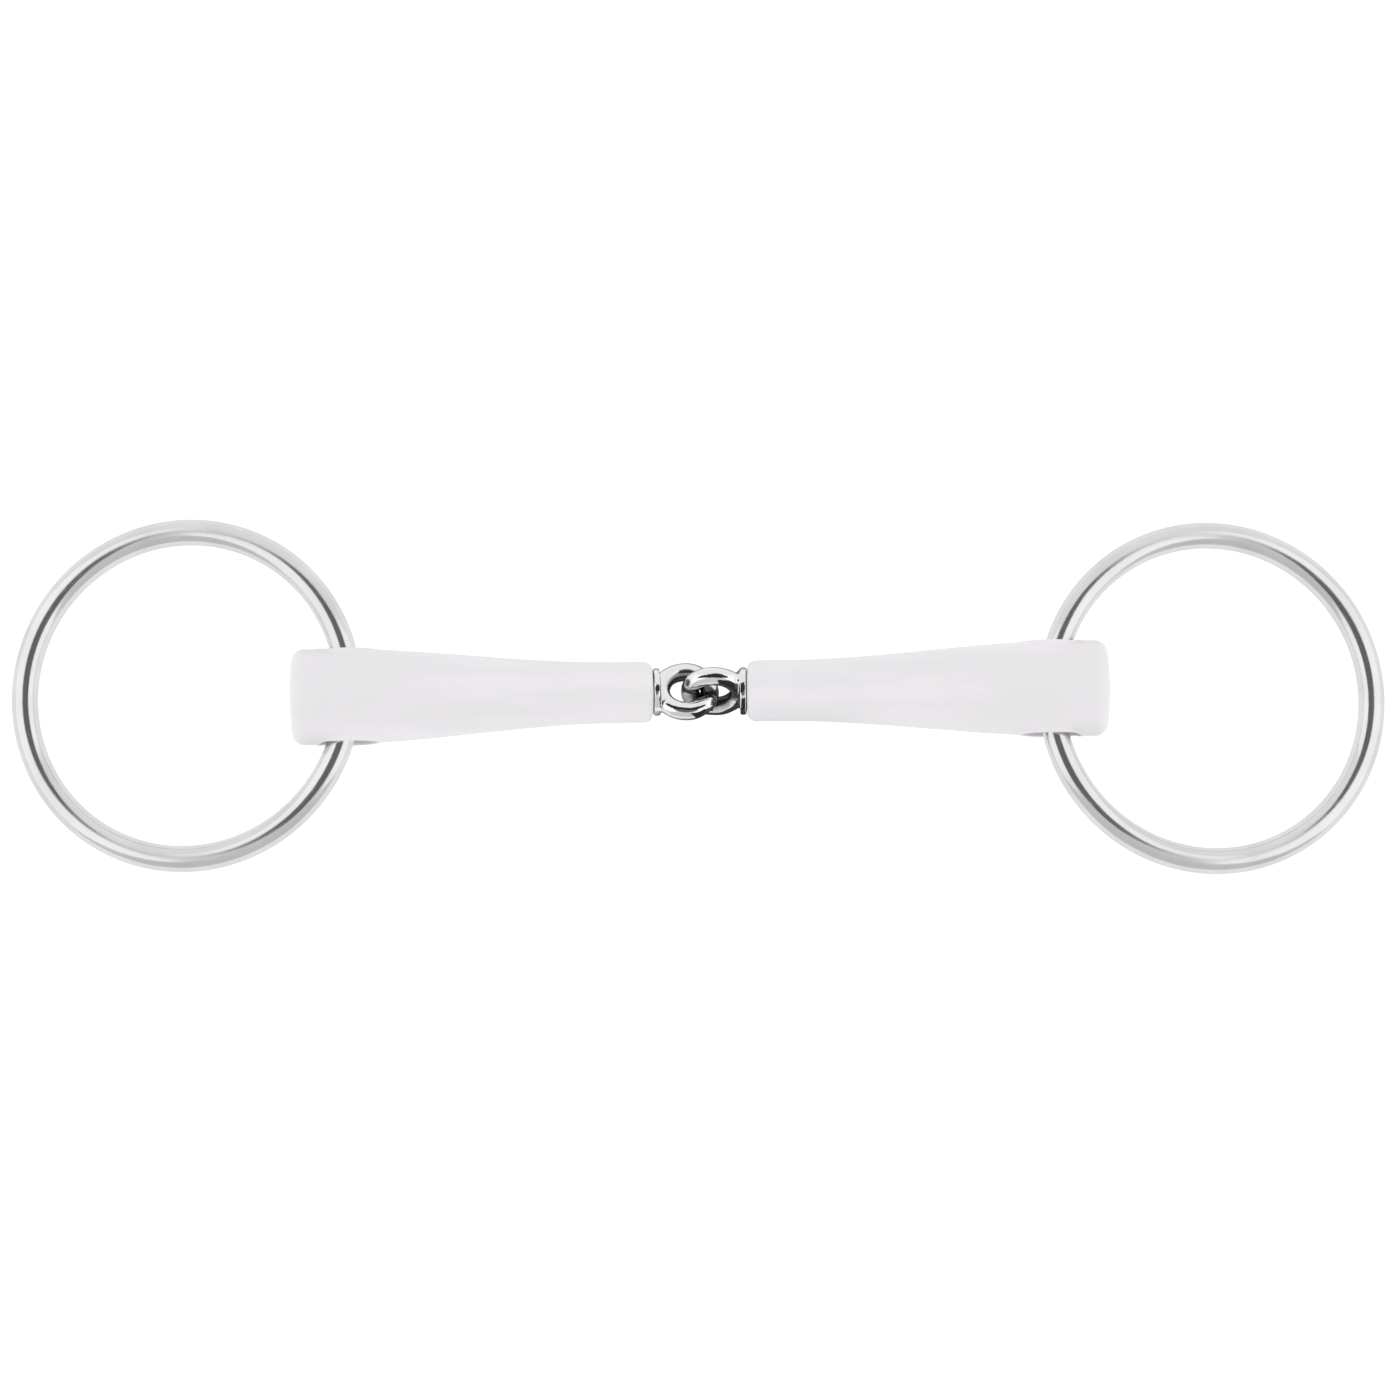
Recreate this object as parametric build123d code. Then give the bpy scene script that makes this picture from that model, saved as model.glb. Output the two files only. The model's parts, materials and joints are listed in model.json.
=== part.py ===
from build123d import *
import os
from math import asin, cos, degrees, radians, sin

# Loose-ring, single-jointed snaffle bit with moulded mouthpiece sleeves, lying flat on a table.
# Millimetres, +Z up, +X to the right, with the table at Z = 0 and the origin midway between the rings.
# Each half is drawn in its own frame: its axis is +X, and its origin is the middle of the joint.

# Driving dimensions
MOUTH_WIDTH = 140.2          # between the middles of the two ring holes
RING_WIRE = 5.2              # diameter of the round bar that the bit rings are made of
RING_OUTSIDE = 71.0          # outside diameter of a bit ring
BARREL_DIAMETER = 19.1       # sleeve at its thick outer end
SMALL_DIAMETER = 12.2        # sleeve at its thin inner end
SLEEVE_START = 9.5           # from the middle of the joint to a sleeve's thin end
HOLE_TO_END = 11.25          # from the middle of a ring hole to the sleeve's thick end
EYE_WIRE = 3.9               # diameter of the bar that forms a joint eye
EYE_RADIUS = 4.9             # middle line of a joint eye
LINK_GAP = 0.1               # play between the two joint eyes
JOINT_SHIFT = 0.7            # how far the joint lies to +Y of the line between the rings' seats
LEFT_EYE_TWIST = 30.0        # each eye's plane, turned about the cannon from level
RIGHT_EYE_TWIST = 60.0
LEFT_RING_YAW = 2.1          # how far each ring has rocked in its hole, about its own axis
RIGHT_RING_YAW = 3.1

# Sleeve
TAPER_START = 7.4            # from the thick end to where the taper starts
TAPER_END = 64.4             # from the thick end to where it ends
BARREL_EDGE = 2.5            # rounding at the thick end
SMALL_EDGE = 1.8             # rounding at the thin end
END_BULGE = 0.35             # how far the thick end face swells outwards
REST_FROM_END = 16.2         # from the thick end to where the sleeve touches a table
PAD_FACE = 9.2               # from the sleeve's axis to the flat pad around a ring hole
PAD_HALF_LENGTH = 6.3        # the pad and the hole's mouth are ovals
PAD_HALF_HEIGHT = 4.8
PAD_EDGE = 0.35              # rounding of the pad's rim
LIP = 0.55                   # width of the pad at the mouth's two ends
MOUTH_HALF_HEIGHT = 3.9      # the mouth's half height, square to the cannon
THROAT_HALF_LENGTH = 4.75
THROAT_HALF_HEIGHT = 3.8
FLARE_DEPTH = 4.2            # how deep the mouth's flare goes

# Ring's seat in the half: the bush turns on SEAT, and the bar sits a little inboard of it
SEAT_OFFSET = 0.7            # the seat's axis lies this far outboard of the hole's middle
BUSH_LENGTH = 6.8
BUSH_BORE = 7.1
BUSH_OUTSIDE = 8.7
BUSH_PLAY = 0.05             # radial clearance between a bush and its eye

# Steel core
COLLAR_DIAMETER = 9.75
COLLAR_LENGTH = 1.5
NECK_START = 6.3             # from the middle of the joint, where the neck meets the eye
NECK_DIAMETER = 6.0
NECK_AT_COLLAR = 9.0
SHANK_DIAMETER = 6.4
RING_EYE_OUTSIDE = 13.6
RING_EYE_THICKNESS = 7.0

# Worked out
SLEEVE_END = MOUTH_WIDTH / 2 + HOLE_TO_END
HOLE_X = MOUTH_WIDTH / 2
SEAT_X = HOLE_X + SEAT_OFFSET
RING_RADIUS = (RING_OUTSIDE - RING_WIRE) / 2
WIRE_RADIUS = RING_WIRE / 2
EYE_X = EYE_RADIUS - (EYE_WIRE + LINK_GAP) / 2


def eye_drop(twist):
    """How far a joint eye reaches below the cannon's axis."""
    return EYE_RADIUS * sin(radians(twist)) + EYE_WIRE / 2


def taper_radius(from_end):
    """Radius of the sleeve on its taper, which is level where it starts and where it ends."""
    share = (from_end - TAPER_START) / (TAPER_END - TAPER_START)
    fall = share**2 * (3 - 2 * share)
    return BARREL_DIAMETER / 2 - fall * (BARREL_DIAMETER - SMALL_DIAMETER) / 2


# On the table each cannon rests on its taper, and the more upright eye holds the joint up.
REST_X = SLEEVE_END - REST_FROM_END
JOINT_DROP = eye_drop(RIGHT_EYE_TWIST)
SLOPE = degrees(asin((taper_radius(REST_FROM_END) - JOINT_DROP) / (REST_X - EYE_X)))
JOINT_HEIGHT = JOINT_DROP / cos(radians(SLOPE)) - EYE_X * sin(radians(SLOPE))
SEAT_HEIGHT = JOINT_HEIGHT + SEAT_X * sin(radians(SLOPE))
# Seen from above, each cannon bends back from the shifted joint to its ring's seat at Y = 0.
SEAT_REACH = SEAT_X * cos(radians(SLOPE))
BEND = degrees(asin(JOINT_SHIFT / SEAT_REACH))
SEAT_OUT = SEAT_REACH * cos(radians(BEND))
# A ring hangs in its hole, with its outer side on the table.
RING_REACH = RING_RADIUS - SEAT_OFFSET
RING_TILT = degrees(asin((SEAT_HEIGHT - WIRE_RADIUS) / (RING_REACH + RING_RADIUS)))


def sleeve_outline():
    """Half of the sleeve's lengthwise section, above its axis."""
    big, small = BARREL_DIAMETER / 2, SMALL_DIAMETER / 2
    taper_in, taper_out = SLEEVE_END - TAPER_END, SLEEVE_END - TAPER_START
    third = (taper_out - taper_in) / 3
    shoulder = big - BARREL_EDGE
    face = Line((SLEEVE_START, 0), (SLEEVE_START, small - SMALL_EDGE))
    thin_edge = RadiusArc(face @ 1, (SLEEVE_START + SMALL_EDGE, small), SMALL_EDGE)
    thin = Line(thin_edge @ 1, (taper_in, small))
    taper = Bezier(thin @ 1, (taper_in + third, small), (taper_out - third, big), (taper_out, big))
    barrel = Line(taper @ 1, (SLEEVE_END - BARREL_EDGE, big))
    thick_edge = RadiusArc(barrel @ 1, (SLEEVE_END, shoulder), BARREL_EDGE)
    dome = (shoulder**2 + END_BULGE**2) / (2 * END_BULGE)
    end = RadiusArc(thick_edge @ 1, (SLEEVE_END + END_BULGE, 0), dome)
    axis = Line(end @ 1, face @ 0)
    return make_face(face + thin_edge + thin + taper + barrel + thick_edge + end + axis)


def across(x, y):
    """A plane square to the hole's axis, with its own X along the cannon."""
    return Plane(origin=(x, y, 0), x_dir=(1, 0, 0), z_dir=(0, 1, 0))


def flared_hole():
    """The oval hole that a ring passes through, wider at both of its mouths."""
    mouth = Ellipse(PAD_HALF_LENGTH - LIP, MOUTH_HALF_HEIGHT)
    throat = Ellipse(THROAT_HALF_LENGTH, THROAT_HALF_HEIGHT)
    inner = PAD_FACE - FLARE_DEPTH
    hole = extrude(across(HOLE_X, -inner) * throat, amount=2 * inner, dir=(0, 1, 0))
    for side in (-1, 1):
        rim = across(HOLE_X, side * PAD_FACE) * mouth
        hole += loft([across(HOLE_X, side * inner) * throat, rim])
        hole += extrude(rim, amount=BARREL_DIAMETER / 2 - inner, dir=(0, side, 0))
    return hole


def along(x, diameter, length):
    """A round bar along the cannon, from x outwards."""
    start = Plane.YZ.offset(x)
    return start * Cylinder(diameter / 2, length, align=(Align.CENTER, Align.CENTER, Align.MIN))


def joint_eye(twist):
    """A closed round eye, with its plane turned about the cannon by twist."""
    bar = Plane(origin=(EYE_RADIUS, 0, 0), x_dir=(1, 0, 1), z_dir=(0, 1, 0)) * Circle(EYE_WIRE / 2)
    return Rot(twist, 0, 0) * Pos(EYE_X, 0, 0) * revolve(bar, Axis.Z)


def core_half(twist):
    """Joint eye, neck, collar, shank and ring eye, forged in one piece."""
    collar_start = SLEEVE_START - COLLAR_LENGTH
    neck = loft(
        [
            Plane.YZ.offset(NECK_START) * Circle(NECK_DIAMETER / 2),
            Plane.YZ.offset(collar_start) * Circle(NECK_AT_COLLAR / 2),
        ]
    )
    core = joint_eye(twist) + neck
    core += along(collar_start, COLLAR_DIAMETER, COLLAR_LENGTH)
    core += along(SLEEVE_START, SHANK_DIAMETER, SEAT_X - SLEEVE_START)
    core += ring_eye_block()
    core -= across(SEAT_X, 0) * Cylinder(BUSH_OUTSIDE / 2 + BUSH_PLAY, PAD_FACE)
    if not core.is_valid or core.bounding_box().min.X > 0:
        raise ValueError("the core came out without its joint eye")
    return core


def ring_eye_block():
    """The outside of the core's ring eye, which the sleeve is moulded around."""
    return across(SEAT_X, 0) * Cylinder(RING_EYE_OUTSIDE / 2, RING_EYE_THICKNESS)


def sleeve_half():
    """The moulded sleeve: its outer shape, less the core inside it and the ring's hole."""
    body = revolve(sleeve_outline(), Axis.X)
    pad = extrude(
        across(HOLE_X, -PAD_FACE) * Ellipse(PAD_HALF_LENGTH, PAD_HALF_HEIGHT),
        amount=2 * PAD_FACE,
        dir=(0, 1, 0),
    )
    rims = [pad.edges().sort_by(Axis.Y)[0], pad.edges().sort_by(Axis.Y)[-1]]
    pad = fillet(rims, PAD_EDGE)
    shank = along(0, SHANK_DIAMETER, SEAT_X)
    return body + pad - flared_hole() - ring_eye_block() - shank


def bush_half():
    """A plain liner that turns in the core's ring eye as the ring swings."""
    return across(SEAT_X, 0) * (
        Cylinder(BUSH_OUTSIDE / 2, BUSH_LENGTH) - Cylinder(BUSH_BORE / 2, BUSH_LENGTH)
    )


def on_table(side):
    """Places a half: the right one slopes up to its outer end, and the left one mirrors it."""
    turn = (0 if side > 0 else 180) - side * BEND
    return Pos(0, JOINT_SHIFT, JOINT_HEIGHT) * Rot(0, 0, turn) * Rot(0, -SLOPE, 0)


def ring_placed(side, yaw):
    """A bit ring in its hole, tilted so that its outer side touches the table, and rocked by yaw."""
    turn = 0 if side > 0 else 180
    seat = Pos(side * SEAT_OUT, 0, SEAT_HEIGHT)
    tilt = Rot(0, 0, turn) * Rot(0, RING_TILT, 0)
    rocked = Pos(-SEAT_OFFSET, 0, 0) * Rot(0, 0, -yaw) * Pos(RING_RADIUS, 0, 0)
    return seat * tilt * rocked * Torus(RING_RADIUS, WIRE_RADIUS)


def build():
    """Every sub-part by name, in place."""
    made = {}
    halves = (
        ("left", -1, LEFT_EYE_TWIST, LEFT_RING_YAW),
        ("right", 1, RIGHT_EYE_TWIST, RIGHT_RING_YAW),
    )
    for name, side, twist, yaw in halves:
        made[f"core_{name}"] = on_table(side) * core_half(twist)
        made[f"sleeve_{name}"] = on_table(side) * sleeve_half()
        made[f"ring_bush_{name}"] = on_table(side) * bush_half()
        made[f"ring_{name}"] = ring_placed(side, yaw)
    return made


os.makedirs("parts", exist_ok=True)
for node, shape in build().items():
    export_step(shape, f"parts/{node}.step")
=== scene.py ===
import json
from math import cos, pi, radians, sin

import bpy
from mathutils import Matrix, Vector
from mathutils.noise import noise as gradient_noise


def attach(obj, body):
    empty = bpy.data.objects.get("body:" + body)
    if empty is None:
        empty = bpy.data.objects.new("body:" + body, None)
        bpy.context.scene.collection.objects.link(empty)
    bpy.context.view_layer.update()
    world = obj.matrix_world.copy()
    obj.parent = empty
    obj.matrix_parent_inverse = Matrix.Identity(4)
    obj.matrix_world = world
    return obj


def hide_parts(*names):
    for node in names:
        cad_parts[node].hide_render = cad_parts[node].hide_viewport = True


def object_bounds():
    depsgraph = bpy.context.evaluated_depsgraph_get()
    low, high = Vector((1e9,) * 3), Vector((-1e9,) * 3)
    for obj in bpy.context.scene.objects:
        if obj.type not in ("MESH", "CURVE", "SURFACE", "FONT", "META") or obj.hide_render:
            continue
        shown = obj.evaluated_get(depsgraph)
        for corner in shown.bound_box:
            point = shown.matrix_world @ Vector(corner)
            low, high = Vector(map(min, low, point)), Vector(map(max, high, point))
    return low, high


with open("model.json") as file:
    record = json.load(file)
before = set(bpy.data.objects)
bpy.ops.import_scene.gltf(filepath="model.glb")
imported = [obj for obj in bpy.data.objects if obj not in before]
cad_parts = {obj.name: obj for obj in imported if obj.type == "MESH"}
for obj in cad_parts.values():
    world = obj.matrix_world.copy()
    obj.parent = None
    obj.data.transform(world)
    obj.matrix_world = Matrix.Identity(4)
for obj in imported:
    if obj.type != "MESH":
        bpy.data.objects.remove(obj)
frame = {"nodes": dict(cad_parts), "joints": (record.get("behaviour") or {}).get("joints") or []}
cad_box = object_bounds()

MM = 0.001

# Camera: where it stands, as seen from the middle of the bit
CAMERA_DISTANCE = 0.750
CAMERA_ELEVATION = 82.6
CAMERA_AZIMUTH = -6.0
CAMERA_ROLL = 0.78
CAMERA_LENS = 96.4
AIM_OFFSET_Y = -1.1 * MM

# Studio: a white floor under a pale sky, with a soft light at each end
FLOOR_SIZE = 14.0
FLOOR_DROP = 0.20  # below the bit, so that the floor hides nothing that swings down
FLOOR_ALBEDO = 0.16
FLOOR_GLOW = 0.92
SKY_LEVEL = 0.80
PANEL_DISTANCE = 0.63
PANEL_HEIGHT = 0.425
PANEL_SIZE = (0.84, 1.00)
PANEL_LIGHT = 0.62

# Cards that only polished surfaces show: radiances, and places in metres
PANEL_RADIANCE = 1.08
CARD_RADIUS = 0.26
CARD_PLACE = (0, 0.04, 0.51)
CARD_RADIANCE = 0.14
ROOM_RADIUS = 2.5
ROOM_REACH = 0.8 * ROOM_RADIUS
ROOM_FRONT = 0.62
ROOM_BACK = 0.88
TABLE_PLACE = (0, 0, -0.1 * MM)
TABLE_DARK = 0.05
TABLE_LIGHT = 0.95
TABLE_DARK_PLACE = (0.008, -0.006, 0)
TABLE_DARK_RADIUS = 0.008
TABLE_LIGHT_RADIUS = 0.034
NEAR_CARD_SIZE = (0.044, 0.012)
NEAR_CARD_PLACE = (0, 0.004, 0.028)
FRONT_CARD_SIZE = (0.026, 0.028)
FRONT_CARD_PLACE = (0.016, -0.016, 0.014)
NEAR_RADIANCE = 0.03

# Mesh work
CORE_VOXEL = 0.14 * MM
CORE_SMOOTHING = 22
EYE_OUTSIDE = 13.7 * MM
NECK_REACH = 2.6 * MM
NECK_SMOOTHING = 60
FORGING_DEPTH = 0.20 * MM
FORGING_WAVE = 2.7 * MM
SLEEVE_VOXEL = 0.24 * MM
SLEEVE_SMOOTHING = 8
PARTING_HEIGHT = 0.05 * MM
PARTING_WIDTH = 0.22 * MM
GATE_RADIUS = 1.3 * MM
GATE_DEPTH = 0.18 * MM
MOUTH_INBOARD = 0.7 * MM
MOUTH_HALF_LENGTH = 5.95 * MM
MOUTH_HALF_HEIGHT = 4.15 * MM
MOUTH_BEAD = 0.14 * MM
MOUTH_BEAD_WIDTH = 0.70 * MM
MOUTH_DEPTH = 2.0 * MM
END_DEPTH = 1.0 * MM
THIN_END_DEPTH = 2.0 * MM


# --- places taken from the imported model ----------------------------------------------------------

def joint(name):
    """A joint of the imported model, by name."""
    return next(j for j in frame["joints"] if j["name"] == name)


def axes_at(place, x_axis, y_axis):
    """A right-handed frame at a place, with its X along x_axis and its Y near y_axis."""
    x = Vector(x_axis).normalized()
    z = x.cross(Vector(y_axis)).normalized()
    y = z.cross(x)
    turned = Matrix((x, y, z)).transposed().to_4x4()
    return Matrix.Translation(Vector(place)) @ turned


def cannon_frame(side):
    """At a ring's seat: X runs outwards along the cannon, and Y along the ring's hole."""
    swing = joint(f"{side}_ring_swing")
    seat = Vector(swing["pos_m"])
    outwards = 1 if seat.x > 0 else -1
    points = [v.co for v in frame["nodes"][f"sleeve_{side}"].data.vertices]
    thin = min(p.x * outwards for p in points)
    near = [p for p in points if p.x * outwards < thin + THIN_END_DEPTH]
    thin_end = sum(near, Vector()) / len(near)
    return axes_at(seat, seat - thin_end, -Vector(swing["axis"]))


def ring_frame(side):
    """At a ring's centre: Z is the ring's axis, and X points outboard."""
    turn = joint(f"{side}_ring_turn")
    centre, axis = Vector(turn["pos_m"]), Vector(turn["axis"])
    outwards = Vector((centre.x, 0, 0))
    return axes_at(centre, outwards - axis * outwards.dot(axis), axis.cross(outwards))


# --- camera, floor and lights -------------------------------------------------------------------

def make_camera():
    """A camera nearly overhead, tipped a little towards -Y."""
    data = bpy.data.cameras.new("camera")
    data.lens = CAMERA_LENS
    camera = bpy.data.objects.new("camera", data)
    bpy.context.scene.collection.objects.link(camera)
    bpy.context.scene.camera = camera
    middle = (cad_box[1].z + cad_box[0].z) / 3
    aim = Vector((0, AIM_OFFSET_Y, middle))
    azimuth, elevation = radians(CAMERA_AZIMUTH), radians(CAMERA_ELEVATION)
    level = Vector((sin(azimuth), -cos(azimuth), 0)) * cos(elevation)
    back = level + Vector((0, 0, sin(elevation)))
    camera.location = aim + back * CAMERA_DISTANCE
    right = Vector((0, 1, 0)).cross(back).normalized()
    up = back.cross(right)
    turned = Matrix((right, up, back)).transposed()
    roll = Matrix.Rotation(radians(-CAMERA_ROLL), 3, "Z")
    camera.rotation_euler = (turned @ roll).to_euler()


def make_floor():
    """A white floor that glows so evenly that no shadow shows on it."""
    bpy.ops.mesh.primitive_plane_add(size=FLOOR_SIZE, location=(0, 0, -FLOOR_DROP))
    floor = bpy.context.object
    floor.name = "floor"
    floor.visible_glossy = False
    material, shader = new_material("white_floor")
    shader.inputs["Base Color"].default_value = (FLOOR_ALBEDO, FLOOR_ALBEDO, FLOOR_ALBEDO, 1)
    shader.inputs["Roughness"].default_value = 0.9
    shader.inputs["Specular IOR Level"].default_value = 0
    shader.inputs["Emission Color"].default_value = (1, 1, 1, 1)
    shader.inputs["Emission Strength"].default_value = FLOOR_GLOW
    floor.data.materials.append(material)


def make_sky():
    """Even pale light from all round."""
    world = bpy.data.worlds.new("sky")
    bpy.context.scene.world = world
    world.use_nodes = True
    background = world.node_tree.nodes["Background"]
    background.inputs["Color"].default_value = (1, 1, 1, 1)
    background.inputs["Strength"].default_value = SKY_LEVEL


def panel_place(side):
    """Where a side panel stands, tipped to face the bit."""
    place = Vector((side * PANEL_DISTANCE, 0, PANEL_HEIGHT))
    back = place.normalized()
    level = Vector((0, 1, 0))
    turned = Matrix((level.cross(back), level, back)).transposed()
    return Matrix.Translation(place) @ turned.to_4x4()


def make_softbox(name, side):
    """A wide soft light at one end of the bit."""
    data = bpy.data.lights.new(name, "AREA")
    data.shape = "RECTANGLE"
    data.size, data.size_y = PANEL_SIZE
    data.energy = PANEL_LIGHT * pi * PANEL_SIZE[0] * PANEL_SIZE[1]
    light = bpy.data.objects.new(name, data)
    light.matrix_world = panel_place(side)
    light.visible_glossy = False
    bpy.context.scene.collection.objects.link(light)


def only_reflected(card, name, radiance):
    """Makes a glowing card that polished surfaces show, but that neither lights nor hides anything."""
    card.name = name
    card.visible_camera = False
    card.visible_diffuse = False
    card.visible_transmission = False
    card.visible_shadow = False
    material, shader = new_material(name)
    material.cycles.emission_sampling = "NONE"
    shader.inputs["Base Color"].default_value = (0, 0, 0, 1)
    shader.inputs["Specular IOR Level"].default_value = 0
    shader.inputs["Emission Color"].default_value = (1, 1, 1, 1)
    shader.inputs["Emission Strength"].default_value = radiance
    card.data.materials.append(material)
    return material.node_tree, shader.inputs["Emission Strength"]


def make_panel(name, side):
    """What the steel shows of a soft light."""
    bpy.ops.mesh.primitive_plane_add(size=1)
    panel = bpy.context.object
    panel.matrix_world = panel_place(side) @ Matrix.Diagonal((*PANEL_SIZE, 1, 1))
    only_reflected(panel, name, PANEL_RADIANCE)


def add_disc(radius, place, corners):
    """A flat round card."""
    bpy.ops.mesh.primitive_circle_add(
        radius=radius, fill_type="NGON", location=place, vertices=corners
    )


def make_overhead_card():
    """A dark round card overhead, which polished steel shows as a dark line along its top."""
    add_disc(CARD_RADIUS, CARD_PLACE, 96)
    only_reflected(bpy.context.object, "overhead_card", CARD_RADIANCE)


def make_near_cards():
    """Two small dark cards at the joint: one over the eyes, one before the right eye's lower side."""
    add_disc(0.5, NEAR_CARD_PLACE, 48)
    over = bpy.context.object
    over.scale = (*NEAR_CARD_SIZE, 1)
    only_reflected(over, "card_over_joint", NEAR_RADIANCE)
    bpy.ops.mesh.primitive_plane_add(size=1, location=FRONT_CARD_PLACE, rotation=(pi / 2, 0, 0))
    front = bpy.context.object
    front.scale = (*FRONT_CARD_SIZE, 1)
    only_reflected(front, "card_before_joint", NEAR_RADIANCE)


def make_room():
    """The grey room round the table, lighter behind the bit than in front."""
    bpy.ops.mesh.primitive_uv_sphere_add(radius=ROOM_RADIUS, segments=48, ring_count=24)
    tree, strength = only_reflected(bpy.context.object, "room", 1)
    place = tree.nodes.new("ShaderNodeTexCoord")
    parts = tree.nodes.new("ShaderNodeSeparateXYZ")
    tree.links.new(place.outputs["Object"], parts.inputs[0])
    reach = (-ROOM_REACH, ROOM_REACH)
    level = remap(tree, parts.outputs["Y"], reach, (ROOM_FRONT, ROOM_BACK))
    tree.links.new(level, strength)


def make_table_reflection():
    """A table that only the steel shows: dark in one small place at the joint, a painted shadow for the
    steel to reflect, and white further off.
    """
    bpy.ops.mesh.primitive_plane_add(size=FLOOR_SIZE, location=TABLE_PLACE)
    tree, strength = only_reflected(bpy.context.object, "table_reflection", 1)
    place = tree.nodes.new("ShaderNodeTexCoord")
    length = tree.nodes.new("ShaderNodeVectorMath")
    length.operation = "DISTANCE"
    length.inputs[1].default_value = TABLE_DARK_PLACE
    tree.links.new(place.outputs["Object"], length.inputs[0])
    reach = (TABLE_DARK_RADIUS, TABLE_LIGHT_RADIUS)
    tree.links.new(remap(tree, length.outputs["Value"], reach, (TABLE_DARK, TABLE_LIGHT)), strength)


# --- node helpers -------------------------------------------------------------------------------

def new_material(name):
    """A material and its shader."""
    material = bpy.data.materials.new(name)
    material.use_nodes = True
    return material, material.node_tree.nodes["Principled BSDF"]


def remap(tree, value, old, new):
    """The value, carried from the old range to the new one and held inside it."""
    node = tree.nodes.new("ShaderNodeMapRange")
    tree.links.new(value, node.inputs["Value"])
    node.inputs["From Min"].default_value, node.inputs["From Max"].default_value = old
    node.inputs["To Min"].default_value, node.inputs["To Max"].default_value = new
    return node.outputs["Result"]


def calc(tree, operation, a, b=None):
    """One step of arithmetic on sockets or numbers."""
    node = tree.nodes.new("ShaderNodeMath")
    node.operation = operation
    for socket, value in zip(node.inputs, (a, b)):
        if isinstance(value, (int, float)):
            socket.default_value = value
        elif value is not None:
            tree.links.new(value, socket)
    return node.outputs["Value"]


def hypotenuse(tree, a, b):
    """How far a point with these two coordinates is from their origin."""
    squares = calc(tree, "ADD", calc(tree, "MULTIPLY", a, a), calc(tree, "MULTIPLY", b, b))
    return calc(tree, "SQRT", squares)


def local_parts(tree, own_frame):
    """X, Y and Z in millimetres in a piece's own frame, and the vector of all three."""
    place = tree.nodes.new("ShaderNodeTexCoord")
    mapping = tree.nodes.new("ShaderNodeMapping")
    mapping.vector_type = "TEXTURE"
    mapping.inputs["Location"].default_value = own_frame.translation
    mapping.inputs["Rotation"].default_value = own_frame.to_euler()
    mapping.inputs["Scale"].default_value = (MM, MM, MM)
    tree.links.new(place.outputs["Object"], mapping.inputs["Vector"])
    parts = tree.nodes.new("ShaderNodeSeparateXYZ")
    tree.links.new(mapping.outputs["Vector"], parts.inputs[0])
    return parts.outputs["X"], parts.outputs["Y"], parts.outputs["Z"], mapping.outputs["Vector"]


def stretched(tree, vector, scale):
    """The vector with each of its axes scaled on its own."""
    mapping = tree.nodes.new("ShaderNodeMapping")
    mapping.inputs["Scale"].default_value = scale
    tree.links.new(vector, mapping.inputs["Vector"])
    return mapping.outputs["Vector"]


def noise(tree, vector, scale, detail=2.0, fourth=None):
    """A noise value, about 0.3 to 0.7; with a fourth coordinate it is a 4-D one."""
    node = tree.nodes.new("ShaderNodeTexNoise")
    if fourth is not None:
        node.noise_dimensions = "4D"
        tree.links.new(fourth, node.inputs["W"])
    tree.links.new(vector, node.inputs["Vector"])
    node.inputs["Scale"].default_value = scale
    node.inputs["Detail"].default_value = detail
    return node.outputs["Fac"]


def around(tree, radial, across, a, b, fine, coarse):
    """Streaks that run round an axis: fine across their run, and coarse along it, with no seam."""
    vector = tree.nodes.new("ShaderNodeCombineXYZ")
    tree.links.new(calc(tree, "MULTIPLY", radial, fine), vector.inputs["X"])
    tree.links.new(calc(tree, "MULTIPLY", across, fine), vector.inputs["Y"])
    tree.links.new(calc(tree, "MULTIPLY", a, coarse), vector.inputs["Z"])
    return noise(tree, vector.outputs["Vector"], 1.0, 3.0, calc(tree, "MULTIPLY", b, coarse))


def tinted(tree, shader, value, limits, dark, light):
    """Base colour between two colours, by a value."""
    mix = tree.nodes.new("ShaderNodeMix")
    mix.data_type = "RGBA"
    tree.links.new(remap(tree, value, limits, (0, 1)), mix.inputs["Factor"])
    mix.inputs[6].default_value = (*dark, 1)
    mix.inputs[7].default_value = (*light, 1)
    tree.links.new(mix.outputs[2], shader.inputs["Base Color"])


def bumped(tree, shader, steps):
    """Bumps one over another: each step is a height, its strength and its depth in metres."""
    normal = None
    for height, strength, depth in steps:
        bump = tree.nodes.new("ShaderNodeBump")
        bump.inputs["Strength"].default_value = strength
        bump.inputs["Distance"].default_value = depth
        tree.links.new(height, bump.inputs["Height"])
        if normal is not None:
            tree.links.new(normal, bump.inputs["Normal"])
        normal = bump.outputs["Normal"]
    tree.links.new(normal, shader.inputs["Normal"])


# --- materials ----------------------------------------------------------------------------------

def steel(name, edge_tint):
    """A bare metal to build on."""
    material, shader = new_material(name)
    shader.inputs["Metallic"].default_value = 1
    shader.inputs["Specular Tint"].default_value = (edge_tint, edge_tint, edge_tint, 1)
    return material, shader


def ring_steel(side):
    """Polished bar: marks of the polishing belt run round the ring, with a few faint rubs."""
    material, shader = steel(f"ring_steel_{side}", 0.9)
    tree = material.node_tree
    x, y, z, place = local_parts(tree, ring_frame(side))
    radius = hypotenuse(tree, x, y)
    belt = around(tree, radius, z, x, y, 5.0, 0.10)
    cloud = noise(tree, place, 0.10, 3.0)
    rubs = remap(tree, around(tree, radius, z, x, y, 1.6, 0.35), (0.58, 0.70), (0, 0.10))
    base = remap(tree, belt, (0.35, 0.65), (0.11, 0.19))
    tree.links.new(calc(tree, "ADD", base, rubs), shader.inputs["Roughness"])
    tinted(tree, shader, cloud, (0.35, 0.65), (0.74, 0.73, 0.745), (0.81, 0.80, 0.81))
    bumped(tree, shader, [(belt, 0.25, 0.02 * MM)])
    return material


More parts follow.
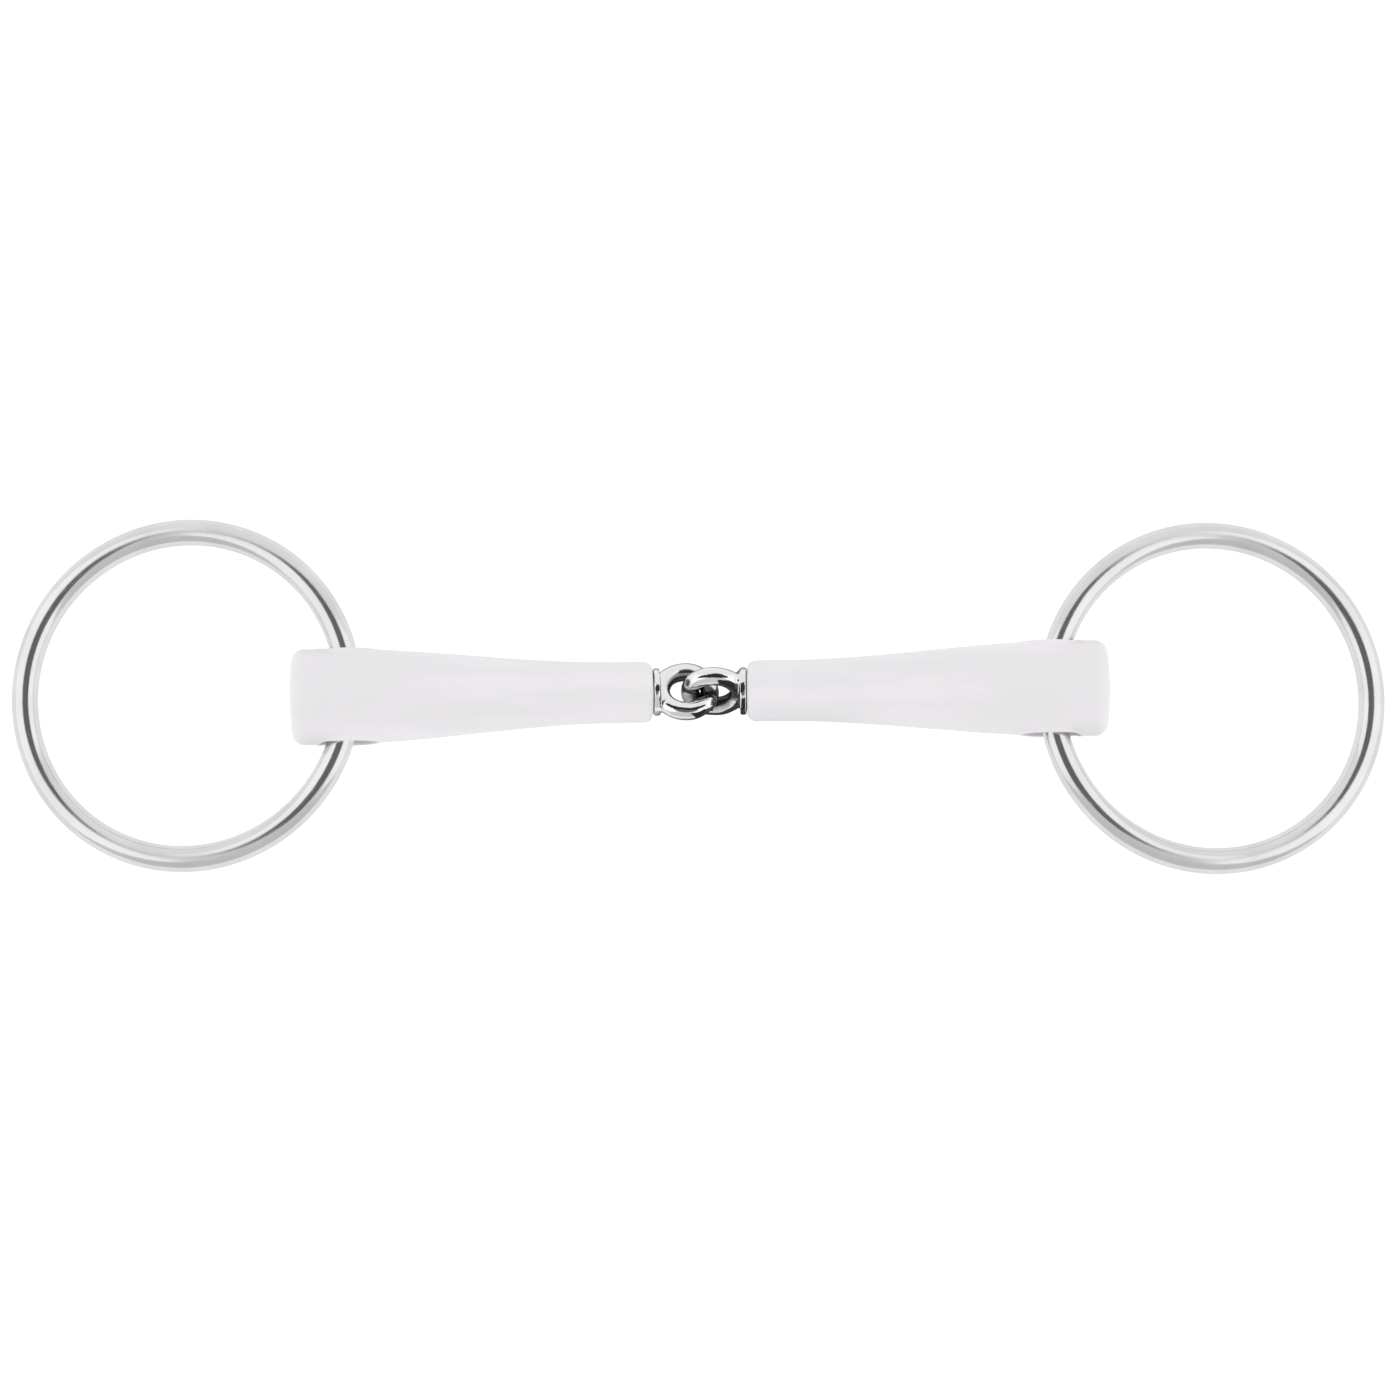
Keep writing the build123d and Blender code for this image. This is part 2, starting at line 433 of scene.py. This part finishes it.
def core_steel(side):
    """Forged and hand-polished steel, with painted shade that darkens the inside of the eye, which is also
    duller.
    """
    material, shader = steel(f"core_steel_{side}", 0.7)
    tree = material.node_tree
    place = local_parts(tree, cannon_frame(side))[3]
    # This attribute holds painted shade for the inside of the eye.
    inside = tree.nodes.new("ShaderNodeAttribute")
    inside.attribute_name = "painted_eye_shade"
    uneven = noise(tree, place, 0.45, 1.0)
    polish = noise(tree, stretched(tree, place, (0.5, 6.0, 6.0)), 1.0, 3.0)
    cloud = noise(tree, place, 0.9, 3.0)
    eye_shade_and_patches = calc(tree, "ADD", inside.outputs["Fac"], calc(tree, "MULTIPLY", cloud, 0.4))
    # Here scale holds painted shade inside the eye, with faint random patches.
    scale = remap(tree, eye_shade_and_patches, (0.25, 0.85), (0, 1))
    shine = remap(tree, polish, (0.35, 0.65), (0.05, 0.12))
    dulled = calc(tree, "ADD", shine, calc(tree, "MULTIPLY", scale, 0.16))
    tree.links.new(dulled, shader.inputs["Roughness"])
    # Base colour: bright steel, going nearly black where the painted shade inside the eye is strong.
    tinted(tree, shader, scale, (0, 1), (0.91, 0.90, 0.91), (0.20, 0.195, 0.20))
    bumped(tree, shader, [(uneven, 0.5, 0.2 * MM), (polish, 0.15, 0.02 * MM)])
    return material


def bush_steel(side):
    """Satin turned steel: the tool's marks run round the hole."""
    material, shader = steel(f"bush_steel_{side}", 0.8)
    tree = material.node_tree
    x, y, z, place = local_parts(tree, cannon_frame(side))
    radius = hypotenuse(tree, x, z)
    turning = around(tree, radius, y, x, z, 7.0, 0.25)
    tree.links.new(remap(tree, turning, (0.3, 0.7), (0.24, 0.40)), shader.inputs["Roughness"])
    tinted(tree, shader, noise(tree, place, 0.6, 3.0), (0.35, 0.65), (0.56, 0.56, 0.57), (0.68, 0.68, 0.69))
    bumped(tree, shader, [(turning, 0.4, 0.03 * MM)])
    return material


def sleeve_plastic(side):
    """Satin moulded plastic: a fine grain and faint clouding."""
    material, shader = new_material(f"sleeve_plastic_{side}")
    tree = material.node_tree
    x, y, z, place = local_parts(tree, cannon_frame(side))
    grain = noise(tree, place, 3.2, 2.0)
    flow = noise(tree, stretched(tree, place, (0.03, 0.16, 0.16)), 1.0, 3.0)
    handling = noise(tree, place, 0.5, 4.0)
    shader.inputs["Subsurface Weight"].default_value = 0.12
    shader.inputs["Subsurface Radius"].default_value = (1.0, 0.92, 0.92)
    shader.inputs["Subsurface Scale"].default_value = 0.8 * MM
    shader.inputs["Specular IOR Level"].default_value = 0.35
    gloss = calc(tree, "ADD", calc(tree, "MULTIPLY", grain, 0.35), calc(tree, "MULTIPLY", handling, 0.65))
    tree.links.new(remap(tree, gloss, (0.38, 0.62), (0.40, 0.56)), shader.inputs["Roughness"])
    tinted(tree, shader, flow, (0.35, 0.65), (0.80, 0.785, 0.80), (0.845, 0.825, 0.845))
    bumped(tree, shader, [(grain, 0.30, 0.03 * MM), (handling, 0.25, 0.06 * MM)])
    return material


# --- pieces -------------------------------------------------------------------------------------

def dress(node, material):
    """Gives a CAD piece its material and smooth shading, and leaves its shape alone."""
    mesh = frame["nodes"][node].data
    mesh.materials.clear()
    mesh.materials.append(material)
    mesh.polygons.foreach_set("use_smooth", [True] * len(mesh.polygons))


def bell(distance, width):
    """1 at no distance, falling smoothly to 0 at the width."""
    share = min(abs(distance) / width, 1)
    return (1 - share * share) ** 2


def apply_modifiers(piece):
    """Fixes a piece's modifiers into its mesh."""
    bpy.context.view_layer.update()
    solid = piece.evaluated_get(bpy.context.evaluated_depsgraph_get())
    mesh = bpy.data.meshes.new_from_object(solid)
    piece.modifiers.clear()
    piece.data = mesh
    mesh.polygons.foreach_set("use_smooth", [True] * len(mesh.polygons))


def blended_copy(node, name, voxel, smoothing):
    """A copy of a CAD piece with its corners blended, as forging or moulding leaves them."""
    piece = bpy.data.objects.new(name, frame["nodes"][node].data.copy())
    bpy.context.scene.collection.objects.link(piece)
    remesh = piece.modifiers.new("remesh", "REMESH")
    remesh.mode = "VOXEL"
    remesh.voxel_size = voxel
    smooth = piece.modifiers.new("smooth", "SMOOTH")
    smooth.iterations = smoothing
    apply_modifiers(piece)
    return piece


def blend_neck(piece, back, collar):
    """Smooths the neck and collar further, so that they flow into the eye. Collar is the place along X."""
    group = piece.vertex_groups.new(name="neck")
    for vertex in piece.data.vertices:
        weight = bell((back @ vertex.co).x - collar, NECK_REACH)
        if weight > 0:
            group.add([vertex.index], weight, "REPLACE")
    smooth = piece.modifiers.new("blend", "SMOOTH")
    smooth.iterations = NECK_SMOOTHING
    smooth.vertex_group = group.name
    apply_modifiers(piece)


def finish_piece(piece, node, body, material):
    """The piece stands for its CAD node, rides on its body and takes its material."""
    piece.data.materials.clear()
    piece.data.materials.append(material)
    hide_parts(node)
    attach(piece, body)


def make_core(side):
    """The forged core: its eye is slightly uneven, and painted shade is stored for the faces inside the
    eye.
    """
    piece = blended_copy(f"core_{side}", f"forged_core_{side}", CORE_VOXEL, CORE_SMOOTHING)
    own = cannon_frame(side)
    back = own.inverted()
    tip = min((back @ v.co).x for v in piece.data.vertices)
    blend_neck(piece, back, tip + EYE_OUTSIDE)
    centre = own @ Vector((tip + EYE_OUTSIDE / 2, 0, 0))
    normals = [n.vector.copy() for n in piece.data.vertex_normals]
    # An attribute of painted shade: faces turned towards the eye's centre get the most.
    painted_eye_shade = piece.data.attributes.new("painted_eye_shade", "FLOAT", "POINT")
    for vertex, normal, inside in zip(piece.data.vertices, normals, painted_eye_shade.data):
        if (back @ vertex.co).x > tip + EYE_OUTSIDE:
            continue
        inside.value = max(0, -normal.dot((vertex.co - centre).normalized()))
        vertex.co -= normal * FORGING_DEPTH * (0.5 + 0.5 * gradient_noise(vertex.co / FORGING_WAVE))
    finish_piece(piece, f"core_{side}", f"{side}_cannon", core_steel(side))


def mouth_bead(place):
    """How far the bead round a hole's mouth stands out, at a place in the cannon's frame."""
    around_hole = Vector(((place.x + MOUTH_INBOARD) / MOUTH_HALF_LENGTH, place.z / MOUTH_HALF_HEIGHT))
    from_rim = (around_hole.length - 1) * MOUTH_HALF_HEIGHT
    return MOUTH_BEAD * bell(from_rim, MOUTH_BEAD_WIDTH)


def make_sleeve(side):
    """The moulded sleeve: beads round its hole, a parting line along its sides, a gate mark on its end."""
    piece = blended_copy(f"sleeve_{side}", f"moulded_sleeve_{side}", SLEEVE_VOXEL, SLEEVE_SMOOTHING)
    own = cannon_frame(side)
    back = own.inverted()
    across_hole = own.to_3x3() @ Vector((0, 1, 0))
    inner = back.to_3x3()
    places = [back @ v.co for v in piece.data.vertices]
    normals = [n.vector.copy() for n in piece.data.vertex_normals]
    end = max(p.x for p in places)
    widest = max(p.y for p in places)
    for vertex, place, normal in zip(piece.data.vertices, places, normals):
        outward = Vector((0, place.y, place.z)).normalized().dot(inner @ normal)
        bead = mouth_bead(place)
        if abs(place.y) > widest - MOUTH_DEPTH and bead > 0:
            vertex.co += across_hole * (bead if place.y > 0 else -bead)
        elif outward > 0.5:
            vertex.co += normal * PARTING_HEIGHT * bell(place.z, PARTING_WIDTH)
        elif place.x > end - END_DEPTH:
            vertex.co -= normal * GATE_DEPTH * bell(Vector((place.y, place.z)).length, GATE_RADIUS)
    finish_piece(piece, f"sleeve_{side}", f"{side}_cannon", sleeve_plastic(side))


def build():
    """The studio, then both halves of the bit."""
    make_camera()
    make_floor()
    make_sky()
    make_softbox("softbox_left", -1)
    make_softbox("softbox_right", 1)
    make_panel("panel_left", -1)
    make_panel("panel_right", 1)
    make_overhead_card()
    make_near_cards()
    make_room()
    make_table_reflection()
    for side in ("left", "right"):
        dress(f"ring_{side}", ring_steel(side))
        dress(f"ring_bush_{side}", bush_steel(side))
        make_core(side)
        make_sleeve(side)


bpy.context.scene.view_settings.view_transform = "Standard"
build()
